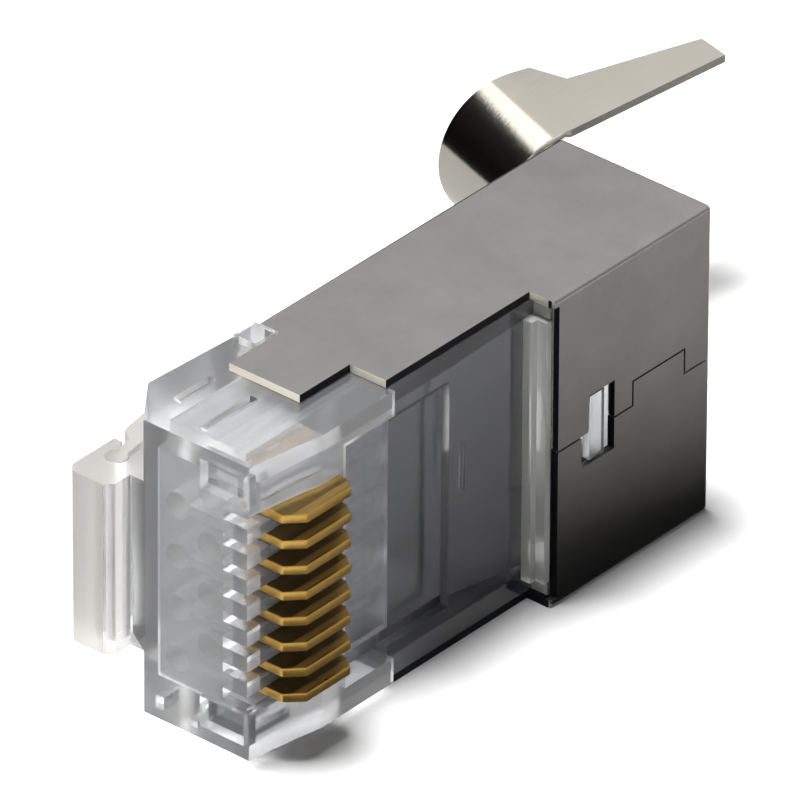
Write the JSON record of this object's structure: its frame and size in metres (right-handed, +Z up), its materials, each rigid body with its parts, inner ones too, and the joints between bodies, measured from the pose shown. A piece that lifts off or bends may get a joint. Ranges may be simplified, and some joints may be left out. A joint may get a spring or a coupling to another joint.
{
  "type": "shielded modular plug",
  "caption": "Modular connector plug in clear plastic with gold blade contacts, a folded metal shield, a bent strain-relief clip and a sprung latch lever.",
  "frame": {"origin": "On the outer face of the side plate that the plug lies on, at the middle of the nose's height and 14 mm behind the nose's front face.", "axes": "+Z up, across the plug's width; -Y towards the nose's front, which enters the socket; +X towards the contact side, -X towards the latch side."},
  "size_m": [0.0153, 0.0362, 0.0123],
  "materials": {
    "clear_housing": "clear moulded polycarbonate, glossy",
    "clear_insert": "clear moulded polycarbonate, glossy",
    "shield_metal": "satin nickel-plated sheet with bright cut edges",
    "contact_gold": "gold-plated stamped blades"
  },
  "bodies": {
    "plug": {"housing": "clear_housing", "wire_guide": "clear_insert", "shield": "shield_metal", "contact_1": "contact_gold", "contact_2": "contact_gold", "contact_3": "contact_gold", "contact_4": "contact_gold", "contact_5": "contact_gold", "contact_6": "contact_gold", "contact_7": "contact_gold", "contact_8": "contact_gold"},
    "latch": {"latch_lever": "clear_housing"}
  },
  "joints": [
    {"name": "latch_press", "type": "hinge", "parent": "plug", "child": "latch", "pos_m": [-0.0036, -0.0134, 0.00616], "axis": [0, 0, -1], "range_deg": [0, 9], "stiffness_Nm_per_rad": 0.05}
  ]
}
